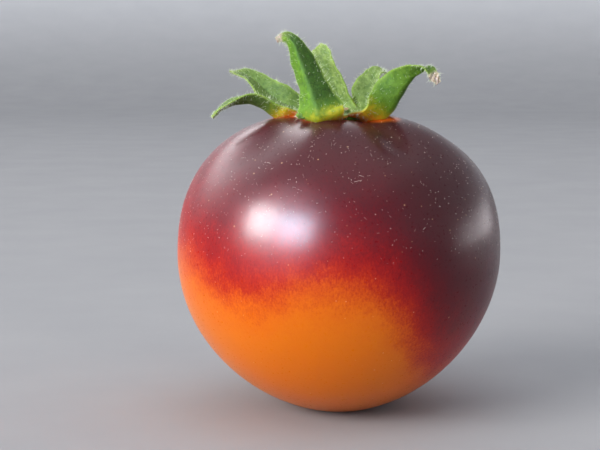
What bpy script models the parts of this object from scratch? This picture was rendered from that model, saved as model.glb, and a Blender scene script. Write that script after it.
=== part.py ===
"""A cherry tomato with its calyx, picked and standing on its blossom end.

Metres, +Z up. The origin is on the surface that the fruit rests on, straight
under the fruit's axis. Azimuths are degrees around +Z, from +X towards +Y.
Touching pieces keep the small gap CLEARANCE.
"""

import math

import bpy
import numpy as np

MM = 0.001
CLEARANCE = 0.3 * MM
WELD_DISTANCE = 0.01 * MM  # joins a turned shape's points on the axis, and no others

# The fruit is a body of revolution: a superellipse above its equator and
# another below it, a hollow around the stalk, and a small flat foot.
FRUIT_RADIUS = 17.0 * MM
EQUATOR_HEIGHT = 16.7 * MM
SHOULDER_RISE = 15.0 * MM
SHOULDER_EXPONENT = 2.3
BLOSSOM_DEPTH = 17.0 * MM  # from the equator to where the curve would close, under the foot
BLOSSOM_EXPONENT = 1.88
HOLLOW_DEPTH = 1.6 * MM
HOLLOW_RADIUS = 4.2 * MM
FRUIT_TURN_STEPS = 48
FRUIT_POINTS_PER_HALF = 14

# The calyx disc is where the sepals have grown together. It lies in the hollow.
DISC_RADIUS = 3.2 * MM
DISC_THICKNESS = 0.6 * MM
DISC_EDGE_POINTS = 5
DISC_FLOOR_POINTS = 6
SMALL_TURN_STEPS = 24

# The stub of the stalk is what stays on the calyx after the fruit is picked.
STUB_RADIUS = 1.15 * MM
STUB_HEIGHT = 0.8 * MM
STUB_FLARE = 1.3  # its radius at the foot, against its radius above

SEPAL_THICKNESS = 0.7 * MM
SEPAL_ROWS = 16
SEPAL_COLUMNS = 7
FOLD_ROUNDING = 0.25  # how blunt the fold at the midrib is, as a share of the half width

# One list for each sepal, from the calyx disc to the tip. Each row holds, in
# millimetres, how far the midrib is out from the axis, to the side and up,
# then the blade's width, its fold up from flat and its roll, in degrees. An
# up of None lies on the fruit.
SEPALS = {
    "sepal_front": (250, [
        (3.5, 0.0, None, 2.8, 12, 0),
        (5.0, -0.1, 32.0, 4.4, 22, 0),
        (5.4, -0.9, 33.9, 4.1, 34, 0),
        (5.7, -1.9, 35.9, 3.1, 36, 0),
        (5.8, -2.6, 38.1, 2.1, 30, 0),
        (5.6, -3.3, 39.1, 1.4, 15, 0),
        (5.0, -4.4, 39.0, 0.9, 5, 0),
    ]),
    "sepal_right": (322, [
        (3.5, 0.0, None, 2.8, 12, 0),
        (5.2, 0.0, None, 4.6, 20, 0),
        (6.8, 0.0, 33.0, 4.6, 34, 0),
        (8.5, 0.0, 34.5, 3.8, 40, 0),
        (10.3, 0.0, 35.5, 2.7, 36, 0),
        (11.8, 0.0, 35.7, 1.6, 20, 0),
        (12.9, 0.0, 35.0, 0.9, 5, 0),
    ]),
    "sepal_back_right": (42, [
        (3.5, 0.0, None, 2.2, 12, 0),
        (4.4, 0.0, 32.4, 3.1, 22, 0),
        (4.8, 0.0, 33.9, 3.3, 30, 0),
        (5.4, 0.0, 35.2, 2.7, 28, 0),
        (6.2, 0.0, 35.8, 1.8, 18, 0),
        (7.1, 0.0, 35.4, 0.9, 5, 0),
    ]),
    "sepal_back": (90, [
        (3.5, 0.0, None, 2.2, 12, 0),
        (4.6, 0.0, 32.3, 2.9, 22, -5),
        (5.2, 0.6, 34.1, 3.2, 26, -10),
        (5.9, 1.4, 36.0, 2.9, 26, -10),
        (6.7, 2.2, 37.6, 2.2, 20, -5),
        (8.0, 2.9, 38.0, 1.0, 5, 0),
    ]),
    "sepal_back_left": (147, [
        (3.5, 0.0, None, 2.2, 12, 0),
        (5.4, 0.0, 31.6, 3.7, 20, -18),
        (7.3, 0.0, 32.3, 4.2, 26, -32),
        (9.0, 0.0, 33.4, 3.8, 28, -36),
        (10.7, 0.0, 34.8, 2.8, 25, -30),
        (12.2, 0.0, 35.4, 1.8, 15, -15),
        (13.5, 0.0, 35.1, 0.9, 5, 0),
    ]),
    "sepal_left": (195, [
        (3.5, 0.0, None, 2.2, 12, 0),
        (5.4, 0.0, None, 3.6, 20, 0),
        (7.2, 0.0, 31.8, 3.6, 26, 0),
        (9.0, 0.0, 32.4, 2.8, 28, 0),
        (10.7, 0.0, 32.4, 2.0, 25, 0),
        (12.0, 0.0, 31.8, 1.3, 15, 0),
        (12.9, 0.0, 31.1, 0.9, 5, 0),
    ]),
}

FRUIT_SKIN = ("fruit_skin", (0.42, 0.07, 0.02), 0.28)
CALYX_GREEN = ("calyx_green", (0.20, 0.36, 0.06), 0.60)
STUB_GREEN = ("stub_green", (0.30, 0.33, 0.12), 0.75)


def skin_height(radius):
    """Height of the fruit's upper skin at this distance from its axis."""
    share = (1 - (radius / FRUIT_RADIUS) ** SHOULDER_EXPONENT) ** (1 / SHOULDER_EXPONENT)
    hollow = HOLLOW_DEPTH * math.exp(-((radius / HOLLOW_RADIUS) ** 2))
    return EQUATOR_HEIGHT + SHOULDER_RISE * share - hollow


def clear_scene():
    for old in list(bpy.data.objects):
        bpy.data.objects.remove(old)


def new_collection(name):
    collection = bpy.data.collections.new(name)
    bpy.context.scene.collection.children.link(collection)
    return collection


def make_material(name, colour, roughness):
    material = bpy.data.materials.get(name)
    if material:
        return material
    material = bpy.data.materials.new(name)
    material.use_nodes = True
    shader = material.node_tree.nodes["Principled BSDF"]
    shader.inputs["Base Color"].default_value = (*colour, 1.0)
    shader.inputs["Roughness"].default_value = roughness
    shader.inputs["Metallic"].default_value = 0.0
    material.diffuse_color = (*colour, 1.0)
    return material


def add_object(name, points, edges, faces, material, collection):
    mesh = bpy.data.meshes.new(name)
    mesh.from_pydata(points, edges, faces)
    mesh.materials.append(make_material(*material))
    obj = bpy.data.objects.new(name, mesh)
    collection.objects.link(obj)
    return obj


def add_turned(name, profile, steps, material, collection):
    """A solid turned around the Z axis. The profile runs from top to bottom."""
    points = [(radius, 0.0, height) for radius, height in profile]
    edges = [(i, i + 1) for i in range(len(points) - 1)]
    obj = add_object(name, points, edges, [], material, collection)
    screw = obj.modifiers.new("Turn", "SCREW")
    screw.axis = "Z"
    screw.steps = steps
    screw.render_steps = steps
    screw.use_merge_vertices = True
    screw.merge_threshold = WELD_DISTANCE
    screw.use_smooth_shade = True
    return obj


def fruit_profile():
    """From the middle of the hollow over the shoulder to the middle of the foot."""
    upper = []
    for i in range(FRUIT_POINTS_PER_HALF):
        angle = math.pi / 2 * i / FRUIT_POINTS_PER_HALF
        radius = FRUIT_RADIUS * math.sin(angle) ** (2 / SHOULDER_EXPONENT)
        upper.append((radius, skin_height(radius)))
    # The lower curve stops at the height of the foot.
    foot_share = (EQUATOR_HEIGHT / BLOSSOM_DEPTH) ** (BLOSSOM_EXPONENT / 2)
    foot_angle = math.asin(foot_share)
    lower = []
    for i in range(FRUIT_POINTS_PER_HALF + 1):
        angle = foot_angle * i / FRUIT_POINTS_PER_HALF
        radius = FRUIT_RADIUS * math.cos(angle) ** (2 / BLOSSOM_EXPONENT)
        depth = BLOSSOM_DEPTH * math.sin(angle) ** (2 / BLOSSOM_EXPONENT)
        lower.append((radius, EQUATOR_HEIGHT - depth))
    return upper + lower + [(0.0, lower[-1][1])]


def disc_floor(radius):
    return skin_height(radius) + CLEARANCE


def disc_top():
    """The height of the disc's flat top, which the floor sets where the round edge starts."""
    return disc_floor(DISC_RADIUS - DISC_THICKNESS / 2) + DISC_THICKNESS


def disc_profile():
    """A flat-topped button with a round edge, whose floor follows the hollow."""
    edge_radius = DISC_THICKNESS / 2
    flat_radius = DISC_RADIUS - edge_radius
    top = disc_top()
    profile = [(0.0, top)]
    for i in range(DISC_EDGE_POINTS):
        angle = math.pi * i / (DISC_EDGE_POINTS - 1)
        profile.append((
            flat_radius + edge_radius * math.sin(angle),
            top - edge_radius + edge_radius * math.cos(angle),
        ))
    for i in range(1, DISC_FLOOR_POINTS + 1):
        radius = flat_radius * (1 - i / DISC_FLOOR_POINTS)
        profile.append((radius, disc_floor(radius)))
    return profile


def stub_profile():
    """A short peg, flared towards its foot."""
    foot = disc_top() + CLEARANCE
    wide = STUB_RADIUS * STUB_FLARE
    return [
        (0.0, foot + STUB_HEIGHT),
        (STUB_RADIUS, foot + STUB_HEIGHT),
        (STUB_RADIUS, foot + STUB_HEIGHT / 2),
        (wide, foot),
        (0.0, foot),
    ]


def smooth_rows(rows, count):
    """A Catmull-Rom curve through the rows, read at count even steps."""
    rows = np.array(rows, dtype=float)
    before = 2 * rows[0] - rows[1]
    after = 2 * rows[-1] - rows[-2]
    padded = np.vstack([before, rows, after])
    result = []
    for position in np.linspace(0, len(rows) - 1, count):
        start = min(int(position), len(rows) - 2)
        t = position - start
        a, b, c, d = padded[start:start + 4]
        result.append(0.5 * (
            2 * b + (c - a) * t + (2 * a - 5 * b + 4 * c - d) * t ** 2 + (3 * b - a - 3 * c + d) * t ** 3
        ))
    return np.array(result)


def on_fruit(row):
    """The row with its up filled in, where it lies on the fruit."""
    out, side, up, width, fold, roll = row
    if up is None:
        up = (skin_height(math.hypot(out, side) * MM) + CLEARANCE + SEPAL_THICKNESS / 2) / MM
    return out, side, up, width, fold, roll


def sepal_grid(azimuth, rows):
    """Points of the blade's middle surface, one row across the blade at a time."""
    angle = math.radians(azimuth)
    outward = np.array([math.cos(angle), math.sin(angle), 0.0])
    sideways = np.array([-math.sin(angle), math.cos(angle), 0.0])
    upward = np.array([0.0, 0.0, 1.0])
    values = smooth_rows([on_fruit(row) for row in rows], SEPAL_ROWS)
    midrib = values[:, 0:3] @ np.array([outward, sideways, upward]) * MM
    across = np.linspace(-1, 1, SEPAL_COLUMNS)
    blunt = np.hypot(across, FOLD_ROUNDING) - FOLD_ROUNDING
    lift = blunt / blunt[0]
    grid = []
    flat = sideways
    for centre, along, row in zip(midrib, np.gradient(midrib, axis=0), values):
        half_width, fold, roll = row[3] / 2 * MM, math.radians(row[4]), math.radians(row[5])
        along = along / np.linalg.norm(along)
        # The blade's frame turns no more than the midrib makes it turn.
        flat = flat - along * (along @ flat)
        flat = flat / np.linalg.norm(flat)
        inner = np.cross(along, flat)
        edge = flat * math.cos(roll) + inner * math.sin(roll)
        face = inner * math.cos(roll) - flat * math.sin(roll)
        for t, rise in zip(across, lift):
            grid.append(centre + half_width * (t * math.cos(fold) * edge + rise * math.sin(fold) * face))
    return grid


def add_sepal(name, azimuth, rows, collection):
    """A folded, curved blade: an open surface given its thickness by Solidify."""
    faces = []
    for i in range(SEPAL_ROWS - 1):
        for j in range(SEPAL_COLUMNS - 1):
            corner = i * SEPAL_COLUMNS + j
            faces.append((corner, corner + SEPAL_COLUMNS, corner + SEPAL_COLUMNS + 1, corner + 1))
    sepal = add_object(name, sepal_grid(azimuth, rows), [], faces, CALYX_GREEN, collection)
    solidify = sepal.modifiers.new("Thickness", "SOLIDIFY")
    solidify.thickness = SEPAL_THICKNESS
    solidify.offset = 0.0
    sepal.data.shade_smooth()
    return sepal


def build():
    clear_scene()
    tomato = new_collection("tomato")
    add_turned("fruit", fruit_profile(), FRUIT_TURN_STEPS, FRUIT_SKIN, tomato)
    add_turned("calyx_disc", disc_profile(), SMALL_TURN_STEPS, CALYX_GREEN, tomato)
    add_turned("stem_stub", stub_profile(), SMALL_TURN_STEPS, STUB_GREEN, tomato)
    for name, (azimuth, rows) in SEPALS.items():
        add_sepal(name, azimuth, rows, tomato)


build()
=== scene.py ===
"""Looks of the cherry tomato: skin, calyx, hairs, light and camera.

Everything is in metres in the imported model's frame: the fruit stands on z = 0
with its axis on the Z axis. Azimuths are degrees around +Z, from +X to +Y.
"""

import math

import bpy
import numpy as np
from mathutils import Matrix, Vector


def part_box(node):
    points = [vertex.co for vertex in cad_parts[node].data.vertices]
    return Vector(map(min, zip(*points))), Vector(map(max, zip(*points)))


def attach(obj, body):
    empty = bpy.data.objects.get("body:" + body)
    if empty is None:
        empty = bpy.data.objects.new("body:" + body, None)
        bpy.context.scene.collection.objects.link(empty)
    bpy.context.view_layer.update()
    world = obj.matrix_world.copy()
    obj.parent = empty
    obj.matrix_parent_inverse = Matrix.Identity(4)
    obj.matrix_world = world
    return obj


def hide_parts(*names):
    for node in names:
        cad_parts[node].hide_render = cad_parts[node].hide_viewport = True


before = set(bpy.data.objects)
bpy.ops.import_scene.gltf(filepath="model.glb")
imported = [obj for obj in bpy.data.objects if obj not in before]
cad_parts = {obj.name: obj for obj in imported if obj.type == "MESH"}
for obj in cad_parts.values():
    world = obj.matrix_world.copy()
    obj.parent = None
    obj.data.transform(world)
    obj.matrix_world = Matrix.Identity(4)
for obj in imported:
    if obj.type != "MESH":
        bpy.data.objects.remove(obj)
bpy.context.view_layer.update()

MM = 0.001
FRUIT_LOW, FRUIT_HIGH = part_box("fruit")
FRUIT_RADIUS = (FRUIT_HIGH.x - FRUIT_LOW.x) / 2

# The fruit's outline, as in the CAD source.
EQUATOR_HEIGHT = 16.7 * MM
SHOULDER_RISE = 15.0 * MM
SHOULDER_EXPONENT = 2.3
BLOSSOM_DEPTH = 17.0 * MM
BLOSSOM_EXPONENT = 1.88
HOLLOW_DEPTH = 1.6 * MM
HOLLOW_RADIUS = 4.2 * MM
FRUIT_TOP = 31.4 * MM
# Ribs and furrows that run down from the calyx: front angle and half width in degrees, rise in millimetres.
SHOULDER_LUMPS = [
    (-52, 15, 0.30), (-22, 9, -0.16), (30, 8, -0.42), (52, 12, 0.32), (78, 10, -0.25), (150, 12, 0.2),
    (-130, 12, -0.3),
]
FRUIT_SEGMENTS = 256
SHOULDER_RINGS = 84
BLOSSOM_RINGS = 66
FOOT_RINGS = 6

# Height in millimetres where orange turns to red, at each angle around the
# fruit in degrees: 0 is the front (-Y), 90 the right (+X).
BLUSH_EDGE = [
    (-100, 18.0), (-90, 17.8), (-80, 17.7), (-68, 17.1), (-55, 16.3), (-46, 14.6), (-39, 14.0), (-28, 14.2),
    (-17, 15.2), (-8, 15.7), (3, 15.9), (11, 14.8), (21, 12.2), (32, 7.6), (45, 5.4), (60, 4.8),
    (75, 4.8), (100, 5.0), (130, 6.2), (160, 8.2), (185, 9.4), (210, 9.0), (235, 11.5), (252, 16.0),
]
# How fast the red darkens with height above that edge.
BLUSH_PACE = [
    (-90, 0.65), (-55, 0.75), (-39, 0.85), (-20, 1.0), (0, 1.0), (21, 0.85), (32, 0.8), (45, 1.0), (90, 0.9),
    (150, 0.7), (200, 0.7), (240, 0.65),
]

# The sepals, finer than in the CAD source. Each row holds, in millimetres, how
# far the midrib is out from the axis, to the side and up, then the blade's
# width, then its fold up from flat and its roll, in degrees. An up of None
# lies on the fruit. dry_from is the share of the length where the blade turns
# dry, pale is how pale it is, and shelter is the length and half width, in
# millimetres, of the orange skin under it.
SEPALS = {
    "sepal_front": {"azimuth": 255, "dry_from": 0.88, "pale": 0.0, "shelter": (3.0, 2.6), "rows": [
        (1.8, 0.0, None, 2.0, 5, 0),
        (4.2, -0.1, None, 4.4, 5, 0),
        (6.4, 0.0, None, 5.0, 8, 4),
        (7.4, -0.1, 31.3, 5.3, 18, 10),
        (7.3, -0.5, 32.7, 4.8, 30, 14),
        (7.0, -1.1, 34.2, 4.2, 37, 14),
        (6.7, -1.75, 35.6, 3.7, 40, 14),
        (6.45, -2.3, 37.0, 3.0, 38, 14),
        (6.25, -2.9, 38.3, 2.0, 30, 12),
        (6.0, -3.6, 39.05, 1.3, 15, 8),
        (5.8, -4.4, 39.15, 0.9, 5, 0),
        (5.7, -5.0, 38.85, 0.5, 5, 0),
    ]},
    "sepal_right": {"azimuth": 320, "dry_from": 0.83, "pale": 0.15, "shelter": (3.6, 1.9), "rows": [
        (1.8, -0.2, None, 2.0, 5, 0),
        (3.8, -0.5, None, 4.2, 8, 0),
        (5.6, -0.5, None, 5.2, 14, -4),
        (6.7, -0.3, 31.9, 5.2, 24, -12),
        (7.7, -0.1, 33.2, 4.8, 34, -18),
        (8.7, 0.0, 34.5, 4.1, 40, -20),
        (9.7, 0.0, 35.4, 3.0, 40, -18),
        (10.6, 0.1, 35.9, 2.0, 25, -10),
        (11.3, 0.2, 36.1, 1.4, 10, 10),
        (11.8, 0.2, 35.8, 1.0, 10, 30),
        (12.1, 0.3, 35.2, 1.1, 15, 40),
        (12.5, 0.5, 34.6, 0.5, 5, 40),
    ]},
    "sepal_back_right": {"azimuth": 42, "dry_from": 1.1, "pale": 0.8, "shelter": (1.8, 2.2), "rows": [
        (1.8, 0.0, None, 1.9, 5, 0),
        (4.0, 0.3, None, 3.8, 10, 0),
        (4.9, 0.4, 31.9, 4.2, 22, 0),
        (5.0, 0.4, 33.5, 3.9, 30, 0),
        (5.4, 0.3, 34.8, 3.1, 28, 0),
        (5.9, 0.1, 35.6, 2.0, 18, 0),
        (6.6, 0.0, 35.6, 1.0, 5, 0),
        (7.0, 0.0, 35.2, 0.3, 5, 0),
    ]},
    "sepal_back": {"azimuth": 90, "dry_from": 0.95, "pale": 1.0, "shelter": (1.8, 2.2), "rows": [
        (1.8, 0.0, None, 1.9, 5, 0),
        (4.0, -0.3, None, 3.2, 12, 0),
        (4.9, -0.4, 32.0, 3.2, 24, -15),
        (5.2, 0.0, 33.5, 3.2, 34, -25),
        (5.6, 0.6, 35.0, 3.1, 34, -25),
        (6.0, 1.4, 36.5, 2.8, 30, -20),
        (6.4, 2.0, 37.4, 2.5, 22, -10),
        (6.9, 2.4, 37.9, 1.9, 10, 0),
        (7.4, 2.6, 37.9, 0.9, 5, 0),
    ]},
    "sepal_back_left": {"azimuth": 147, "dry_from": 1.1, "pale": 0.35, "shelter": (3.2, 2.4), "rows": [
        (1.8, 0.0, None, 1.9, 5, 0),
        (3.8, 0.0, None, 3.4, 10, 0),
        (5.6, 0.0, 31.4, 4.0, 20, -16),
        (7.4, 0.0, 32.2, 4.0, 30, -30),
        (9.1, 0.0, 33.2, 3.4, 32, -34),
        (10.7, 0.0, 34.4, 2.6, 28, -30),
        (12.2, 0.0, 35.2, 2.0, 18, -20),
        (13.3, 0.0, 35.5, 1.6, 10, -10),
        (14.0, 0.0, 35.5, 0.9, 5, 0),
    ]},
    "sepal_left": {"azimuth": 195, "dry_from": 1.1, "pale": 0.3, "shelter": (3.6, 2.6), "rows": [
        (1.8, 0.0, None, 1.9, 5, 0),
        (4.0, 0.0, None, 3.8, 8, 0),
        (5.9, 0.0, None, 4.5, 14, 0),
        (7.0, 0.0, 31.6, 4.0, 24, 0),
        (8.3, 0.0, 32.35, 3.3, 28, 0),
        (9.7, 0.0, 32.7, 2.6, 28, 0),
        (11.2, 0.0, 32.5, 1.9, 20, 0),
        (12.4, 0.0, 32.0, 1.2, 10, 0),
        (13.1, 0.0, 31.4, 0.6, 5, 0),
        (13.4, 0.0, 31.0, 0.2, 5, 0),
    ]},
}
SEPAL_ROWS = 80
SEPAL_COLUMNS = 27
FOLD_ROUNDING = 0.25
SEPAL_THICKNESS = 0.62 * MM
HAIRS_PER_SEPAL = 560

# The stub's outline from foot to torn top: radius in millimetres, share of its height.
STUB_WALL = [
    (1.45, 0.0), (1.25, 0.15), (1.12, 0.35), (1.08, 0.6), (1.10, 0.85), (1.04, 0.97), (0.9, 1.0),
    (0.6, 0.9), (0.3, 0.84),
]
STUB_SEGMENTS = 48
DISC_REACH = 4.6
DISC_THICKNESS = 0.75 * MM

DUST_COUNT = 1700
SPECK_LIFT = 0.01 * MM
# Long fibres on the skin: front angle in degrees, height and length in
# millimetres, and slope of the fibre along the skin.
FIBRES = [
    (9, 25.6, 1.6, 0.3), (9.5, 25.9, 0.8, -0.35), (14, 28.6, 0.5, 0.5), (-30, 27.0, 0.6, -0.2),
    (30, 21.0, 0.5, 0.6),
]
FIBRE_RADIUS = 0.016 * MM
FLOOR_RADIUS = 0.75
WALL_BEND = 0.6
WALL_HEIGHT = 1.3
WALL_GLOW = 0.05

CAMERA_DISTANCE = 0.15
CAMERA_ELEVATION = 8
CAMERA_LENS = 84.8
CAMERA_AIM_X = -4.03 * MM
CAMERA_AIM_RISE = 2.8 * MM

# Name, front angle, elevation, distance, width, height, radiance, colour,
# softness and what it lights.
SOFTBOXES = [
    ("window_far_pane", -57, 21, 0.42, 0.22, 0.26, 58.0, (0.92, 0.98, 1.0), 0.8, "gloss"),
    ("window_near_pane", -32, 20, 0.42, 0.30, 0.24, 58.0, (0.50, 0.80, 1.0), 0.8, "gloss"),
    ("window_glow", -46, 24, 0.45, 0.70, 0.60, 6.0, (1.0, 0.92, 1.0), 0.9, "gloss"),
    ("room_left", -112, 34, 0.5, 0.70, 0.60, 3.0, (0.95, 0.96, 1.0), 0.9, "gloss"),
    ("window_daylight", -54, 22, 1.10, 0.94, 0.68, 10.5, (1.0, 0.98, 0.96), 0.4, "matt"),
    ("sky_behind", -150, 34, 0.5, 0.80, 0.34, 4.5, (1.0, 0.95, 0.97), 0.9, "gloss"),
    ("room_right", 112, -8, 0.45, 0.60, 0.36, 5.0, (0.96, 0.92, 0.95), 0.7, "gloss"),
    ("ceiling_shine", 0, 80, 0.7, 1.3, 1.3, 0.8, (1.0, 0.97, 0.97), 0.9, "gloss"),
    ("ceiling", 0, 88, 0.7, 1.5, 1.5, 1.0, (0.98, 0.98, 1.0), 0.9, "matt"),
]


# ---------------------------------------------------------------- shapes

def skin_height(radius):
    """Height of the fruit's upper skin at this distance from its axis."""
    share = (1 - (radius / FRUIT_RADIUS) ** SHOULDER_EXPONENT) ** (1 / SHOULDER_EXPONENT)
    return EQUATOR_HEIGHT + SHOULDER_RISE * share - HOLLOW_DEPTH * np.exp(-((radius / HOLLOW_RADIUS) ** 2))


def smooth_step(low, high, value):
    """0 before low and 1 after high, easing between them; low may be the larger."""
    share = np.clip((value - low) / (high - low), 0, 1)
    return share * share * (3 - 2 * share)


def around(points, angle, softness=9.0):
    """A smooth closed curve near the (angle, value) points, read at each angle in degrees."""
    kappa = (180 / math.pi / softness) ** 2
    total = np.zeros_like(angle)
    weight = np.zeros_like(angle)
    for centre, value in points:
        near = np.exp(kappa * (np.cos(np.radians(angle - centre)) - 1))
        total += near * value
        weight += near
    return total / weight


def smooth_rows(rows, count):
    """A Catmull-Rom curve through the rows, read at count even steps."""
    rows = np.array(rows, dtype=float)
    padded = np.vstack([2 * rows[0] - rows[1], rows, 2 * rows[-1] - rows[-2]])
    result = []
    for position in np.linspace(0, len(rows) - 1, count):
        start = min(int(position), len(rows) - 2)
        t = position - start
        a, b, c, d = padded[start:start + 4]
        result.append(0.5 * (
            2 * b + (c - a) * t + (2 * a - 5 * b + 4 * c - d) * t ** 2 + (3 * b - a - 3 * c + d) * t ** 3
        ))
    return np.array(result)


def unit(vectors):
    return vectors / np.linalg.norm(vectors, axis=-1, keepdims=True)


def grid_faces(rows, columns, start=0, closed=False, flipped=False):
    """Quads over points numbered row by row. closed joins the last column to the first."""
    faces = []
    for i in range(rows - 1):
        for j in range(columns if closed else columns - 1):
            k = (j + 1) % columns
            face = [i * columns + j, (i + 1) * columns + j, (i + 1) * columns + k, i * columns + k]
            faces.append([start + n for n in (face[::-1] if flipped else face)])
    return faces


def add_piece(name, points, faces, material, attributes=None):
    mesh = bpy.data.meshes.new(name)
    mesh.from_pydata(np.asarray(points).reshape(-1, 3).tolist(), [], faces)
    mesh.materials.append(material)
    for key, values in (attributes or {}).items():
        layer = mesh.attributes.new(key, "FLOAT", "POINT")
        layer.data.foreach_set("value", np.asarray(values, np.float32).ravel())
    mesh.shade_smooth()
    piece = bpy.data.objects.new(name, mesh)
    bpy.context.scene.collection.objects.link(piece)
    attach(piece, "root")
    return piece


# ---------------------------------------------------------------- materials

def srgb(red, green, blue):
    """A linear colour with alpha from 0-255 screen values."""
    shares = [value / 255 for value in (red, green, blue)]
    return (*[((c + 0.055) / 1.055) ** 2.4 if c > 10 / 255 else c / 12.92 for c in shares], 1.0)


class Look:
    """A material and short ways to add nodes to it."""

    def __init__(self, name):
        self.material = bpy.data.materials.new(name)
        self.material.use_nodes = True
        self.tree = self.material.node_tree
        self.shader = self.tree.nodes["Principled BSDF"]

    def put(self, socket, value):
        if isinstance(value, bpy.types.NodeSocket):
            self.tree.links.new(value, socket)
        else:
            socket.default_value = value

    def node(self, kind, inputs=(), output=0, **settings):
        made = self.tree.nodes.new("ShaderNode" + kind)
        for key, value in settings.items():
            setattr(made, key, value)
        for key, value in dict(inputs).items():
            self.put(made.inputs[key], value)
        return made.outputs[output]

    def math(self, operation, a, b=0.0, c=0.0):
        return self.node("Math", {0: a, 1: b, 2: c}, operation=operation)

    def attribute(self, name):
        return self.node("Attribute", output="Fac", attribute_name=name)

    def place(self, scale=(1, 1, 1)):
        """The object's own coordinates in millimetres, stretched by scale."""
        seen = self.node("TexCoord", output="Object")
        return self.node("Mapping", {"Vector": seen, "Scale": [s / MM for s in scale]})

    def noise(self, vector, scale, detail=3.0, roughness=0.55):
        inputs = {"Vector": vector, "Scale": scale, "Detail": detail, "Roughness": roughness}
        return self.node("TexNoise", inputs, output="Fac")

    def spread(self, value, low, high, to_low=0.0, to_high=1.0, smooth=False):
        """The value's place between low and high, spread from to_low to to_high."""
        kind = "SMOOTHSTEP" if smooth else "LINEAR"
        return self.node("MapRange", {
            "Value": value, "From Min": low, "From Max": high, "To Min": to_low, "To Max": to_high,
        }, interpolation_type=kind)

    def mix(self, share, a, b):
        """Colour a, with this share of colour b."""
        made = self.tree.nodes.new("ShaderNodeMix")
        made.data_type = "RGBA"
        self.put(made.inputs[0], share)
        self.put(made.inputs[6], a)
        self.put(made.inputs[7], b)
        return made.outputs[2]

    def ramp(self, value, stops):
        """The colour at value on a straight ramp through the (position, colour) stops."""
        made = self.tree.nodes.new("ShaderNodeValToRGB")
        made.color_ramp.interpolation = "LINEAR"
        elements = made.color_ramp.elements
        while len(elements) < len(stops):
            elements.new(0.5)
        for element, (position, colour) in zip(elements, stops):
            element.position = position
            element.color = colour
        self.put(made.inputs[0], value)
        return made.outputs[0]

    def bump(self, height):
        """The normal of a surface raised by height, in millimetres."""
        return self.node("Bump", {"Height": height, "Distance": MM, "Strength": 1.0})

    def set(self, **values):
        for key, value in values.items():
            self.put(self.shader.inputs[key.replace("_", " ")], value)


def skin_look():
    """Glossy waxy skin: orange below, red to purple above, with pores and streaks."""
    look = Look("tomato_skin")
    near = look.place()
    tall = look.place(scale=(1, 1, 0.4))
    blush = look.attribute("blush")
    # Streaks run down the fruit through the red, and clouds shift the whole edge.
    streaks = look.spread(look.noise(tall, 5.5, 2.0, 0.6), 0.25, 0.75, -1.0, 1.0)
    clouds = look.spread(look.noise(near, 0.35, 3.0), 0.3, 0.7, -1.0, 1.0)
    grain = look.spread(look.noise(near, 5.0, 2.0), 0.3, 0.7, -1.0, 1.0)
    height = look.math("MULTIPLY_ADD", streaks, 0.9, blush)
    height = look.math("MULTIPLY_ADD", clouds, 0.8, height)
    height = look.math("MULTIPLY_ADD", grain, 0.6, height)
    colour = look.ramp(look.spread(height, -5.0, 17.0), [
        (0.00, srgb(232, 117, 0)),
        (0.12, srgb(228, 108, 0)),
        (0.20, srgb(212, 82, 0)),
        (0.28, srgb(184, 38, 6)),
        (0.35, srgb(156, 12, 14)),
        (0.43, srgb(126, 4, 16)),
        (0.51, srgb(104, 5, 20)),
        (0.60, srgb(88, 12, 24)),
        (0.70, srgb(76, 18, 27)),
        (0.82, srgb(70, 22, 28)),
        (1.00, srgb(64, 25, 30)),
    ])
    sheltered = look.ramp(look.spread(look.noise(near, 1.2), 0.3, 0.7), [
        (0.0, srgb(150, 44, 10)), (1.0, srgb(222, 108, 8)),
    ])
    colour = look.mix(look.attribute("shelter"), colour, sheltered)
    # Pores: small pale dots, each with its own size, and some missing.
    pores = look.tree.nodes.new("ShaderNodeTexVoronoi")
    look.put(pores.inputs["Vector"], near)
    pores.inputs["Scale"].default_value = 1.1
    which = look.node("SeparateColor", {"Color": pores.outputs["Color"]})
    size = look.spread(which, 0.45, 1.0, 0.0, 0.10)
    dots = look.math("LESS_THAN", pores.outputs["Distance"], size)
    colour = look.mix(look.math("MULTIPLY", dots, 0.35), colour, srgb(255, 210, 160))
    # Fine surface: a cell-sized pebbling and shallow dents.
    pebble = look.noise(near, 4.2, 2.0, 0.6)
    dents = look.noise(near, 0.9, 1.0)
    relief = look.math("MULTIPLY_ADD", pebble, 0.0075, look.math("MULTIPLY", dents, 0.012))
    wear = look.noise(near, 3.2, 4.0, 0.7)
    look.set(
        Base_Color=colour,
        Roughness=look.spread(wear, 0.3, 0.75, 0.25, 0.40),
        Normal=look.bump(relief),
        Specular_IOR_Level=0.2,
        Coat_Weight=0.16,
        Coat_Roughness=0.15,
        Subsurface_Weight=0.15,
        Subsurface_Scale=1.2 * MM,
        Subsurface_Radius=(1.0, 0.35, 0.12),
    )
    return look.material


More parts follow.
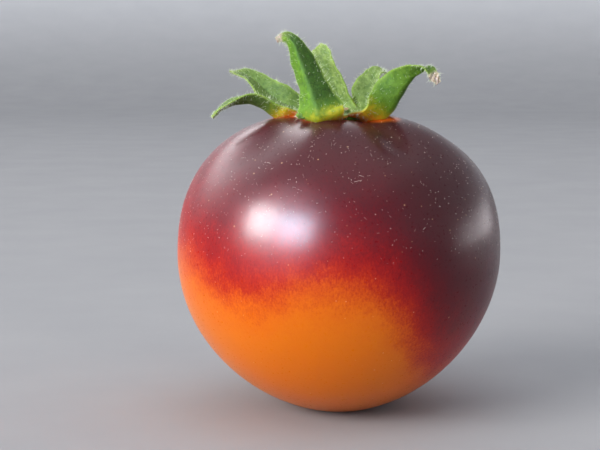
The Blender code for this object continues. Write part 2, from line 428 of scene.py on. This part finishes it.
def leaf_look():
    """Soft hairy green: yellow at the base, pale at the margins and tips, brown and papery where dry, with
    painted shade on one half of each blade's outer face.
    """
    look = Look("calyx_leaf")
    near = look.place()
    along = look.attribute("along")
    across = look.attribute("across")
    inner = look.attribute("inner")
    blotch = look.spread(look.noise(near, 1.9, 4.0, 0.65), 0.34, 0.66)
    fine = look.spread(look.noise(near, 8.0, 2.0, 0.6), 0.3, 0.7)
    outside = look.mix(blotch, srgb(52, 98, 0), srgb(98, 146, 4))
    # Painted shade: past the midrib, the outer face turns a darker green that stands in for shade falling on
    # that half, not a darker leaf.
    painted_shade_green = look.mix(blotch, srgb(12, 48, 0), srgb(36, 80, 6))
    outside = look.mix(look.spread(look.attribute("side"), -0.12, 0.16, smooth=True), outside, painted_shade_green)
    inside = look.mix(blotch, srgb(34, 66, 10), srgb(74, 108, 28))
    young = look.mix(blotch, srgb(78, 104, 16), srgb(128, 148, 40))
    inside = look.mix(look.spread(look.attribute("reach"), -3.0, 2.5, 0.8, 0.0, smooth=True), inside, young)
    green = look.mix(inner, outside, inside)
    green = look.mix(look.math("MULTIPLY", fine, 0.22), green, srgb(128, 166, 40))
    pale = look.mix(blotch, srgb(84, 114, 40), srgb(142, 164, 90))
    green = look.mix(look.attribute("pale"), green, pale)
    margin = look.spread(across, 0.84, 1.0, smooth=True)
    green = look.mix(look.math("MULTIPLY", margin, 0.6), green, srgb(158, 188, 80))
    tip = look.spread(along, 0.76, 1.0, smooth=True)
    green = look.mix(look.math("MULTIPLY", tip, 0.6), green, srgb(164, 186, 72))
    reach = look.math("MULTIPLY_ADD", blotch, 0.9, look.attribute("reach"))
    base = look.ramp(look.spread(reach, -1.0, 4.0), [
        (0.16, srgb(214, 124, 6)),
        (0.30, srgb(206, 162, 10)),
        (0.46, srgb(166, 168, 14)),
        (0.70, srgb(96, 136, 12)),
    ])
    rooted = look.spread(reach, 1.2, 3.6, 1.0, 0.0, smooth=True)
    rooted = look.math("MULTIPLY", rooted, look.spread(inner, 0.0, 1.0, 1.0, 0.0))
    green = look.mix(rooted, green, base)
    dead = look.mix(fine, srgb(150, 122, 92), srgb(240, 228, 214))
    colour = look.mix(look.attribute("dry"), green, dead)
    relief = look.math("MULTIPLY_ADD", fine, 0.02, look.math("MULTIPLY", blotch, 0.05))
    look.set(
        Base_Color=colour,
        Roughness=look.spread(fine, 0.0, 1.0, 0.48, 0.68),
        Normal=look.bump(relief),
        Subsurface_Weight=0.25,
        Subsurface_Scale=0.5 * MM,
        Subsurface_Radius=(0.6, 1.0, 0.2),
        Specular_IOR_Level=0.14,
        Sheen_Weight=0.06,
    )
    return look.material


def hair_look():
    """Pale glassy hairs, some a little greener than others."""
    look = Look("calyx_hair")
    shade = look.noise(look.place(), 0.8)
    look.set(
        Base_Color=look.mix(shade, srgb(206, 224, 178), srgb(246, 248, 236)),
        Roughness=0.4,
    )
    return look.material


def dust_look():
    """Pale lint and dried flecks."""
    look = Look("pale_dust")
    shade = look.noise(look.place(), 1.3)
    look.set(Base_Color=look.mix(shade, srgb(214, 184, 172), srgb(255, 248, 240)), Roughness=0.6)
    return look.material


def stub_look():
    """The broken stalk: green bark, brown fibres on the break."""
    look = Look("stalk_stub")
    near = look.place()
    fibre = look.spread(look.noise(look.place(scale=(4, 4, 0.6)), 1.5, 4.0, 0.7), 0.3, 0.7)
    bark = look.mix(fibre, srgb(92, 112, 44), srgb(150, 168, 84))
    broken = look.mix(fibre, srgb(98, 70, 40), srgb(196, 168, 118))
    look.set(
        Base_Color=look.mix(look.attribute("broken"), bark, broken),
        Roughness=0.78,
        Normal=look.bump(look.math("MULTIPLY", fibre, 0.08)),
    )
    return look.material


# ---------------------------------------------------------------- the fruit

def fruit_outline():
    """(radius, height) from the middle of the hollow to the edge of the foot."""
    angle = np.linspace(0, math.pi / 2, SHOULDER_RINGS, endpoint=False)[1:]
    radius = FRUIT_RADIUS * np.sin(angle) ** (2 / SHOULDER_EXPONENT)
    upper = np.stack([radius, skin_height(radius)], axis=1)
    foot_angle = math.asin((EQUATOR_HEIGHT / BLOSSOM_DEPTH) ** (BLOSSOM_EXPONENT / 2))
    angle = np.linspace(0, foot_angle, BLOSSOM_RINGS)
    lower = np.stack([
        FRUIT_RADIUS * np.cos(angle) ** (2 / BLOSSOM_EXPONENT),
        EQUATOR_HEIGHT - BLOSSOM_DEPTH * np.sin(angle) ** (2 / BLOSSOM_EXPONENT),
    ], axis=1)
    foot_radius = lower[-1, 0]
    radius = np.linspace(foot_radius, 0, FOOT_RINGS, endpoint=False)[1:]
    foot = np.stack([radius, np.zeros_like(radius)], axis=1)
    return np.vstack([upper, lower, foot])


def swelling(front_angle, height):
    """How far the skin stands out from the turned shape, in metres."""
    turn = np.radians(front_angle)
    up = height / FRUIT_TOP
    shoulder = np.exp(-((up - 0.93) / 0.10) ** 2)
    lobes = 0.24 * np.cos(5 * turn + 0.7) + 0.12 * np.cos(8 * turn + 2.1)
    for centre, width, rise in SHOULDER_LUMPS:
        away = (front_angle - centre + 180) % 360 - 180
        lobes = lobes + rise * np.exp(-((away / width) ** 2)) * smooth_step(0.80, 0.95, up)
    left_belly = 0.20 * np.exp(-((front_angle + 55) / 35) ** 2 - ((up - 0.30) / 0.22) ** 2)
    right_shoulder = 0.16 * np.exp(-((front_angle - 70) / 40) ** 2 - ((up - 0.78) / 0.15) ** 2)
    belly = np.sin(math.pi * np.clip(up, 0, 1))
    waves = 0.05 * np.sin(3 * turn + 5 * up) * belly + 0.03 * np.sin(7 * turn - 9 * up + 1.3) * belly
    return (shoulder * lobes + left_belly + right_shoulder + waves) * MM


def shelter_share(x, y, height):
    """1 where a sepal has kept the light off the skin, so that it stayed orange."""
    share = np.zeros_like(x)
    for sepal in SEPALS.values():
        angle = math.radians(sepal["azimuth"])
        out = (x * math.cos(angle) + y * math.sin(angle)) / MM
        side = (y * math.cos(angle) - x * math.sin(angle)) / MM
        wobble = 0.35 * np.sin(3.0 * out + 2.0 * side)
        length, half_width = sepal["shelter"]
        far = np.hypot((out - 4.2) / length, side / half_width) + 0.08 * wobble
        share = np.maximum(share, 1 - smooth_step(0.8, 1.12, far))
    near_axis = 1 - smooth_step(3.8, 4.6, np.hypot(x, y) / MM)
    return np.maximum(share, near_axis) * (height > EQUATOR_HEIGHT)


def add_fruit(material):
    outline = fruit_outline()
    azimuth = np.linspace(0, 360, FRUIT_SEGMENTS, endpoint=False)
    radius = outline[:, :1]
    height = np.repeat(outline[:, 1:], FRUIT_SEGMENTS, axis=1)
    front_angle = np.broadcast_to((azimuth + 90 + 180) % 360 - 180, height.shape)
    slope = unit(np.gradient(outline, axis=0))
    swell = swelling(front_angle, height) * smooth_step(0, 4 * MM, height)
    out = radius - slope[:, 1:] * swell
    up = height + slope[:, :1] * swell
    x = out * np.cos(np.radians(azimuth))
    y = out * np.sin(np.radians(azimuth))
    points = np.stack([x, y, up], axis=-1).reshape(-1, 3)
    rings = len(outline)
    faces = grid_faces(rings, FRUIT_SEGMENTS, closed=True)
    top, bottom = len(points), len(points) + 1
    points = np.vstack([points, [0, 0, skin_height(0.0)], [0, 0, 0.0]])
    last = (rings - 1) * FRUIT_SEGMENTS
    for j in range(FRUIT_SEGMENTS):
        k = (j + 1) % FRUIT_SEGMENTS
        faces.append([top, j, k])
        faces.append([bottom, last + k, last + j])
    angle = np.append(front_angle.ravel(), [0, 0])
    height = points[:, 2] / MM
    rise = height - around(BLUSH_EDGE, angle, softness=7)
    pace = around(BLUSH_PACE, angle, softness=12)
    blush = np.where(rise > 0, rise * pace, rise)
    piece = add_piece("tomato_fruit", points, faces, material, {
        "blush": blush,
        "shelter": shelter_share(points[:, 0], points[:, 1], points[:, 2]),
    })
    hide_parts("fruit")


# ---------------------------------------------------------------- the calyx

def on_fruit(row):
    out, side, up, width, fold, roll = row
    if up is None:
        up = (skin_height(math.hypot(out, side) * MM) + 0.25 * MM) / MM
    return out, side, up, width, fold, roll


def sepal_reach(rows):
    """How far each row of the blade is from where it leaves the fruit, along the midrib, in millimetres."""
    midrib = smooth_rows([on_fruit(row) for row in rows], SEPAL_ROWS)[:, 0:3]
    length = np.concatenate([[0], np.cumsum(np.linalg.norm(np.diff(midrib, axis=0), axis=1))])
    last_on_fruit = max(i for i, row in enumerate(rows) if row[2] is None)
    leaves_at = last_on_fruit / (len(rows) - 1) * (SEPAL_ROWS - 1)
    return length - np.interp(leaves_at, np.arange(SEPAL_ROWS), length)


def sepal_surface(azimuth, rows, seed):
    """The blade's middle surface as a grid, its normals towards the calyx's middle, and the
    place of each column across it, from -1 to 1."""
    angle = math.radians(azimuth)
    axes = np.array([
        [math.cos(angle), math.sin(angle), 0.0],
        [-math.sin(angle), math.cos(angle), 0.0],
        [0.0, 0.0, 1.0],
    ])
    values = smooth_rows([on_fruit(row) for row in rows], SEPAL_ROWS)
    midrib = values[:, 0:3] @ axes * MM
    across = np.sin(np.linspace(-math.pi / 2, math.pi / 2, SEPAL_COLUMNS))
    blunt = np.hypot(across, FOLD_ROUNDING) - FOLD_ROUNDING
    lift = blunt / blunt[0]
    flat = axes[1]
    surface = np.zeros((SEPAL_ROWS, SEPAL_COLUMNS, 3))
    for i, (centre, direction) in enumerate(zip(midrib, unit(np.gradient(midrib, axis=0)))):
        s = i / (SEPAL_ROWS - 1)
        flat = unit(flat - direction * (direction @ flat))
        inner = np.cross(direction, flat)
        half = max(values[i, 3], 0.08) / 2 * MM
        fold, roll = np.radians(values[i, 4:6])
        edge = flat * math.cos(roll) + inner * math.sin(roll)
        face = inner * math.cos(roll) - flat * math.sin(roll)
        ragged = 1 + 0.05 * np.sin(23 * s + seed + np.sign(across)) + 0.03 * np.sin(61 * s + 2 * seed)
        wave = 0.10 * np.sin(19 * s + seed + 1.5 * np.sign(across)) * np.abs(across) ** 2 * min(1.0, 6 * s)
        sideways = across * math.cos(fold) * ragged
        upward = lift * math.sin(fold) + wave
        surface[i] = centre + half * (sideways[:, None] * edge + upward[:, None] * face)
    normals = unit(np.cross(np.gradient(surface, axis=0), np.gradient(surface, axis=1)))
    return surface, normals, across


def add_sepal(name, sepal, seed, material):
    surface, normals, across = sepal_surface(sepal["azimuth"], sepal["rows"], seed)
    s = np.linspace(0, 1, SEPAL_ROWS)[:, None]
    t = across[None, :]
    dry = smooth_step(sepal["dry_from"], sepal["dry_from"] + 0.05, s) * np.ones_like(t)
    root = 1 + 0.8 * smooth_step(0.5, 0.1, s)
    thickness = SEPAL_THICKNESS * root * (1 - 0.72 * np.abs(t) ** 2.5) * (1 - 0.55 * s) * (1 - 0.5 * dry)
    rib = 0.26 * MM * np.exp(-((t / 0.13) ** 2)) * (1 - 0.8 * s) * smooth_step(0.05, 0.25, s)
    groove = 0.10 * MM * np.exp(-((t / 0.10) ** 2)) * (1 - 0.6 * s)
    veins = 0.022 * MM * np.sin(46 * s - 7 * np.abs(t) + seed) * (1 - t ** 2)
    crumple = dry * 0.10 * MM * np.sin(90 * s + 5 * t + seed)
    inner = surface + normals * (thickness / 2 - groove + veins + crumple)[..., None]
    outer = surface - normals * (thickness / 2 + rib - veins - crumple)[..., None]
    count = SEPAL_ROWS * SEPAL_COLUMNS
    faces = grid_faces(SEPAL_ROWS, SEPAL_COLUMNS)
    faces += grid_faces(SEPAL_ROWS, SEPAL_COLUMNS, start=count, flipped=True)
    last_row = (SEPAL_ROWS - 1) * SEPAL_COLUMNS
    last_column = SEPAL_COLUMNS - 1
    for i in range(SEPAL_ROWS - 1):
        a, b = i * SEPAL_COLUMNS, (i + 1) * SEPAL_COLUMNS
        faces.append([a, count + a, count + b, b])
        faces.append([b + last_column, count + b + last_column, count + a + last_column, a + last_column])
    for j in range(SEPAL_COLUMNS - 1):
        faces.append([j + 1, count + j + 1, count + j, j])
        faces.append([last_row + j, count + last_row + j, count + last_row + j + 1, last_row + j + 1])
    ones = np.ones((SEPAL_ROWS, SEPAL_COLUMNS))

    def both(values):
        """The values for every point of the grid, once for each face."""
        return np.concatenate([np.ravel(values * ones)] * 2)

    points = np.concatenate([inner.reshape(-1, 3), outer.reshape(-1, 3)])
    piece = add_piece(name + "_blade", points, faces, material, {
        "along": both(s),
        "reach": both(sepal_reach(sepal["rows"])[:, None]),
        "across": both(np.abs(t)),
        # side picks the half of the outer face that the leaf material darkens with painted shade.
        "side": both(t),
        "inner": np.concatenate([np.ones(count), np.zeros(count)]),
        "dry": both(dry),
        "pale": both(sepal["pale"]),
    })
    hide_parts(name)
    return inner, outer


def add_hairs(name, roots, directions, lengths, radii, bends, material):
    """Tapered three-sided hairs that bend over, all in one piece."""
    count = len(roots)
    sides, rings = 3, 4
    directions = unit(directions)
    helper = np.where(np.abs(directions[:, 2:]) < 0.9, [[0.0, 0.0, 1.0]], [[1.0, 0.0, 0.0]])
    u = unit(np.cross(directions, helper))
    v = np.cross(directions, u)
    points = np.zeros((count, sides * rings + 1, 3))
    for ring in range(rings + 1):
        share = ring / rings
        centre = roots + (directions * share + bends * share ** 2) * lengths[:, None]
        if ring == rings:
            points[:, -1] = centre
            continue
        for side in range(sides):
            turn = 2 * math.pi * side / sides
            wide = radii[:, None] * (1 - 0.75 * share)
            points[:, ring * sides + side] = centre + wide * (math.cos(turn) * u + math.sin(turn) * v)
    one = grid_faces(rings, sides, closed=True, flipped=True)
    tip = sides * rings
    one += [[tip - sides + j, tip - sides + (j + 1) % sides, tip] for j in range(sides)]
    one += [[2, 1, 0]]
    faces = [[h * (tip + 1) + n for n in face] for h in range(count) for face in one]
    return add_piece(name, points, faces, material)


def sepal_hairs(name, inner, outer, seed, material):
    """Hairs over both faces of a blade, most on the margins and on the outer face, none on the midrib."""
    random = np.random.default_rng(seed)
    count, midrib = HAIRS_PER_SEPAL, SEPAL_COLUMNS // 2
    i = random.integers(4, SEPAL_ROWS - 2, count)
    edge = random.random(count) < 0.35
    edge_column = np.where(random.random(count) < 0.5, 0, SEPAL_COLUMNS - 2)
    any_column = random.integers(0, SEPAL_COLUMNS - 1, count)
    j = np.where(edge, edge_column, any_column)
    outward = random.random(count) < 0.62
    near, far = np.where(outward, 1, 0), np.where(outward, 0, 1)
    both = np.stack([inner, outer])
    mix = random.random(count)[:, None]
    roots = both[near, i, j] * (1 - mix) + both[near, i + 1, j + 1] * mix
    normals = unit(both[near, i, j] - both[far, i, j])
    rim = both[near, i, j] - both[near, i, midrib]
    rim[edge] = unit(rim[edge])
    rim[~edge] = 0.0
    along = unit(both[near, i + 1, j] - both[near, i, j])
    directions = normals + 1.4 * rim + 0.25 * along + random.normal(0, 0.28, (count, 3))
    lengths = random.uniform(0.14, 0.42, count) * MM * np.where(edge, 1.25, 1.0)
    radii = random.uniform(0.012, 0.022, count) * MM
    bends = random.normal(0, 0.22, (count, 3)) + 0.12 * along
    roots = roots - unit(directions) * 0.02 * MM
    shown = j != midrib
    add_hairs(
        name + "_hairs", roots[shown], directions[shown], lengths[shown], radii[shown], bends[shown],
        material,
    )


def on_skin(front_angle, radius):
    """Points on the upper skin, and the normals there, from angles in degrees and radii in metres."""
    turn = np.radians(front_angle - 90)
    height = skin_height(radius)
    step = 0.05 * MM
    slope = (skin_height(radius - step) - height) / step
    normal = unit(np.stack([slope * np.cos(turn), slope * np.sin(turn), np.ones_like(turn)], axis=1))
    centre = np.stack([radius * np.cos(turn), radius * np.sin(turn), height], axis=1)
    return centre + normal * (swelling(front_angle, height) + SPECK_LIFT)[:, None], normal


def add_dust(material):
    """Specks and short fibres that cling to the waxy skin."""
    random = np.random.default_rng(7)
    front_angle = random.uniform(-180, 180, DUST_COUNT)
    angle = math.pi / 2 * (0.12 + 0.88 * random.beta(1.6, 1.3, DUST_COUNT))
    radius = FRUIT_RADIUS * np.sin(angle) ** (2 / SHOULDER_EXPONENT) * 0.999
    centre, normal = on_skin(front_angle, radius)
    directions = unit(np.cross(normal, random.normal(0, 1, (DUST_COUNT, 3))))
    fibre = random.random(DUST_COUNT) < 0.12
    fibre_length = random.uniform(0.2, 0.5, DUST_COUNT)
    speck_length = random.uniform(0.05, 0.13, DUST_COUNT)
    lengths = np.where(fibre, fibre_length, speck_length) * MM
    fibre_radius = random.uniform(0.007, 0.012, DUST_COUNT)
    speck_radius = 0.012 + 0.03 * random.random(DUST_COUNT) ** 2
    radii = np.where(fibre, fibre_radius, speck_radius) * MM
    bends = random.normal(0, 0.12, (DUST_COUNT, 3)) * fibre[:, None]
    add_hairs("skin_dust", centre, directions, lengths, radii, bends, material)


def add_fibres(material):
    """A few long fibres of lint, each lying along the skin."""
    front_angle, height, length, rise = np.array(FIBRES).T
    share = (height * MM - EQUATOR_HEIGHT) / SHOULDER_RISE
    radius = FRUIT_RADIUS * (1 - np.clip(share, 0.02, 1) ** SHOULDER_EXPONENT) ** (1 / SHOULDER_EXPONENT)
    centre, normal = on_skin(front_angle, radius)
    level = unit(np.cross([0.0, 0.0, 1.0], normal))
    directions = unit(level + rise[:, None] * np.cross(normal, level))
    centre = centre - directions * length[:, None] / 2 * MM + normal * 0.03 * MM
    radii = np.full(len(FIBRES), FIBRE_RADIUS)
    bends = -0.12 * normal
    add_hairs("skin_fibres", centre, directions, length * MM, radii, bends, material)


def add_calyx_disc(material):
    """The grown-together middle of the calyx: a thin lobed shield in the hollow."""
    rings, segments = 16, 96
    azimuth = np.linspace(0, 360, segments, endpoint=False)
    reach = DISC_REACH + 0.25 * np.cos(np.radians(6 * azimuth))
    share = np.linspace(0, 1, rings + 1)[1:, None]
    radius = share * reach * MM
    x = radius * np.cos(np.radians(azimuth))
    y = radius * np.sin(np.radians(azimuth))
    floor = skin_height(radius) - 0.02 * MM
    thick = DISC_THICKNESS * np.sqrt(np.clip(1 - share ** 4, 0, 1)) + 0.02 * MM
    ripple = 0.05 * MM * np.sin(np.radians(12 * azimuth)) * share
    top = np.stack([x, y, floor + thick + ripple], axis=-1)
    bottom = np.stack([x, y, floor], axis=-1)
    count = rings * segments
    points = np.concatenate([top.reshape(-1, 3), bottom.reshape(-1, 3)])
    points = np.vstack([points, [0, 0, skin_height(0.0) + 0.77 * MM], [0, 0, skin_height(0.0) - 0.02 * MM]])
    faces = grid_faces(rings, segments, closed=True)
    faces += grid_faces(rings, segments, start=count, closed=True, flipped=True)
    rim = (rings - 1) * segments
    for j in range(segments):
        k = (j + 1) % segments
        faces.append([2 * count, j, k])
        faces.append([2 * count + 1, count + k, count + j])
        faces.append([rim + j, count + rim + j, count + rim + k, rim + k])
    total = len(points)
    reach_out = np.append(np.tile(np.repeat(2.0 - 2.0 * share[:, 0], segments), 2), [2.0, 2.0])
    piece = add_piece("calyx_middle", points, faces, material, {
        "along": np.zeros(total),
        "reach": reach_out,
        "across": np.zeros(total),
        "side": np.zeros(total),
        "inner": np.ones(total),
        "dry": np.zeros(total),
        "pale": np.zeros(total),
    })
    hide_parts("calyx_disc")


def add_stub(material):
    """The stalk's broken end: a short flared peg with a torn, hollowed top."""
    low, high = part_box("stem_stub")
    segments = STUB_SEGMENTS
    base = low.z - 0.9 * MM
    tall = high.z - 0.7 * MM - base
    azimuth = np.linspace(0, 2 * math.pi, segments, endpoint=False)
    rows = smooth_rows(STUB_WALL, 30)
    ridges = 1 + 0.05 * np.cos(7 * azimuth) + 0.03 * np.cos(13 * azimuth + 1)
    rows_up = np.clip(rows[:, 1:], 0, 1)
    torn = 0.12 * np.sin(3 * azimuth + 0.5) * smooth_step(0.7, 1.0, rows_up)
    torn = torn + 0.05 * np.sin(11 * azimuth) * smooth_step(0.8, 1.0, rows_up)
    radius = rows[:, :1] * ridges * MM
    up = base + tall * (rows[:, 1:] + torn - 0.12)
    points = np.stack([radius * np.cos(azimuth), radius * np.sin(azimuth), up], axis=-1)
    faces = grid_faces(len(rows), segments, closed=True, flipped=True)
    top, bottom = points.size // 3, points.size // 3 + 1
    last = (len(rows) - 1) * segments
    for j in range(segments):
        k = (j + 1) % segments
        faces.append([bottom, k, j])
        faces.append([top, last + j, last + k])
    points = np.vstack([points.reshape(-1, 3), [0, 0, base + tall * 0.70], [0, 0, base]])
    broken = np.repeat(smooth_step(0.62, 0.72, np.linspace(0, 1, len(rows))), segments)
    piece = add_piece("stalk_stub", points, faces, material, {
        "broken": np.append(broken, [1, 0]),
    })
    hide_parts("stem_stub")


# ---------------------------------------------------------------- the studio

def add_floor():
    """A pale floor that curves up into a round wall, so no horizon shows from any side."""
    turn = np.linspace(0, math.pi / 2, 24)
    profile = [(0.02, 0.0), (0.1, 0.0), (0.3, 0.0)]
    profile += [(FLOOR_RADIUS + WALL_BEND * math.sin(t), WALL_BEND * (1 - math.cos(t))) for t in turn]
    profile += [(FLOOR_RADIUS + WALL_BEND, WALL_HEIGHT)]
    segments = 96
    azimuth = np.linspace(0, 2 * math.pi, segments, endpoint=False)
    points = [(r * math.cos(a), r * math.sin(a), z) for r, z in profile for a in azimuth]
    faces = grid_faces(len(profile), segments, closed=True)
    faces.append(list(range(segments)))
    mesh = bpy.data.meshes.new("studio_floor")
    mesh.from_pydata(points, [], faces)
    mesh.shade_smooth()
    look = Look("pale_floor")
    mottle = look.noise(look.place(), 0.05, 5.0)
    ground = look.mix(mottle, srgb(156, 157, 160), srgb(168, 168, 170))
    wall = look.mix(mottle, srgb(214, 216, 220), srgb(222, 224, 227))
    above = look.node("SeparateXYZ", {"Vector": look.place()}, output=2)
    raised = look.spread(above, 0.0, 140.0, smooth=True)
    look.set(
        Base_Color=look.mix(raised, ground, wall),
        Roughness=0.9,
        Specular_IOR_Level=0.0,
        Emission_Color=(0.96, 0.97, 1.0, 1.0),
        Emission_Strength=look.math("MULTIPLY", raised, WALL_GLOW),
    )
    mesh.materials.append(look.material)
    floor = bpy.data.objects.new("studio_floor", mesh)
    bpy.context.scene.collection.objects.link(floor)


def edge_fade(tree, coordinate, softness):
    """1 in the middle of a light's face, fading to 0 at the edges along this coordinate."""
    centred = tree.nodes.new("ShaderNodeMath")
    centred.operation = "SUBTRACT"
    centred.inputs[1].default_value = 0.5
    tree.links.new(coordinate, centred.inputs[0])
    absolute = tree.nodes.new("ShaderNodeMath")
    absolute.operation = "ABSOLUTE"
    tree.links.new(centred.outputs[0], absolute.inputs[0])
    fade = tree.nodes.new("ShaderNodeMapRange")
    fade.interpolation_type = "SMOOTHSTEP"
    fade.inputs["From Min"].default_value = 0.5 * (1 - softness)
    fade.inputs["From Max"].default_value = 0.5
    fade.inputs["To Min"].default_value = 1.0
    fade.inputs["To Max"].default_value = 0.0
    tree.links.new(absolute.outputs[0], fade.inputs["Value"])
    return fade.outputs[0]


def add_softbox(name, front_angle, elevation, distance, width, height, radiance, colour, softness, lights):
    """A rectangular light facing the fruit, fading out over softness of its half size.

    front_angle is 0 towards the camera and 90 to the right. lights is "gloss"
    for a light seen only in reflections, or "matt" for one that is left out of
    them.
    """
    lamp = bpy.data.lights.new(name, "AREA")
    lamp.shape = "RECTANGLE"
    lamp.size = width
    lamp.size_y = height
    lamp.energy = radiance * math.pi * width * height
    lamp.color = colour
    lamp.use_nodes = True
    tree = lamp.node_tree
    face = tree.nodes.new("ShaderNodeNewGeometry")
    split = tree.nodes.new("ShaderNodeSeparateXYZ")
    tree.links.new(face.outputs["Parametric"], split.inputs[0])
    product = tree.nodes.new("ShaderNodeMath")
    product.operation = "MULTIPLY"
    tree.links.new(edge_fade(tree, split.outputs["X"], softness), product.inputs[0])
    tree.links.new(edge_fade(tree, split.outputs["Y"], softness), product.inputs[1])
    tree.links.new(product.outputs[0], tree.nodes["Emission"].inputs["Strength"])
    box = bpy.data.objects.new(name, lamp)
    bpy.context.scene.collection.objects.link(box)
    turn, rise = math.radians(front_angle), math.radians(elevation)
    away = Vector((math.sin(turn) * math.cos(rise), -math.cos(turn) * math.cos(rise), math.sin(rise)))
    box.location = Vector((0, 0, EQUATOR_HEIGHT)) + away * distance
    box.rotation_euler = away.to_track_quat("Z", "Y").to_euler()
    box.visible_camera = False
    box.visible_diffuse = lights == "matt"
    box.visible_transmission = lights == "matt"
    box.visible_glossy = lights == "gloss"


def add_camera():
    elevation = math.radians(CAMERA_ELEVATION)
    data = bpy.data.cameras.new("camera")
    data.lens = CAMERA_LENS
    data.sensor_width = 36
    data.clip_start = 0.005
    camera = bpy.data.objects.new("camera", data)
    bpy.context.scene.collection.objects.link(camera)
    out, up = CAMERA_DISTANCE * math.cos(elevation), CAMERA_DISTANCE * math.sin(elevation)
    camera.location = (0, -out, EQUATOR_HEIGHT + up)
    aim = Vector((CAMERA_AIM_X, 0, EQUATOR_HEIGHT + CAMERA_AIM_RISE))
    camera.rotation_euler = (aim - camera.location).to_track_quat("-Z", "Y").to_euler()
    bpy.context.scene.camera = camera


def add_world():
    world = bpy.data.worlds.new("studio")
    bpy.context.scene.world = world
    world.use_nodes = True
    world.node_tree.nodes["Background"].inputs["Color"].default_value = (0.62, 0.64, 0.68, 1)
    world.node_tree.nodes["Background"].inputs["Strength"].default_value = 1.0


add_camera()
add_world()
add_floor()
for softbox in SOFTBOXES:
    add_softbox(*softbox)
bpy.context.scene.view_settings.view_transform = "Standard"

add_fruit(skin_look())
dust = dust_look()
add_dust(dust)
add_fibres(dust)
leaf, hair = leaf_look(), hair_look()
add_calyx_disc(leaf)
add_stub(stub_look())
for number, (name, sepal) in enumerate(SEPALS.items()):
    inner, outer = add_sepal(name, sepal, number * 1.7, leaf)
    sepal_hairs(name, inner, outer, 100 + number, hair)
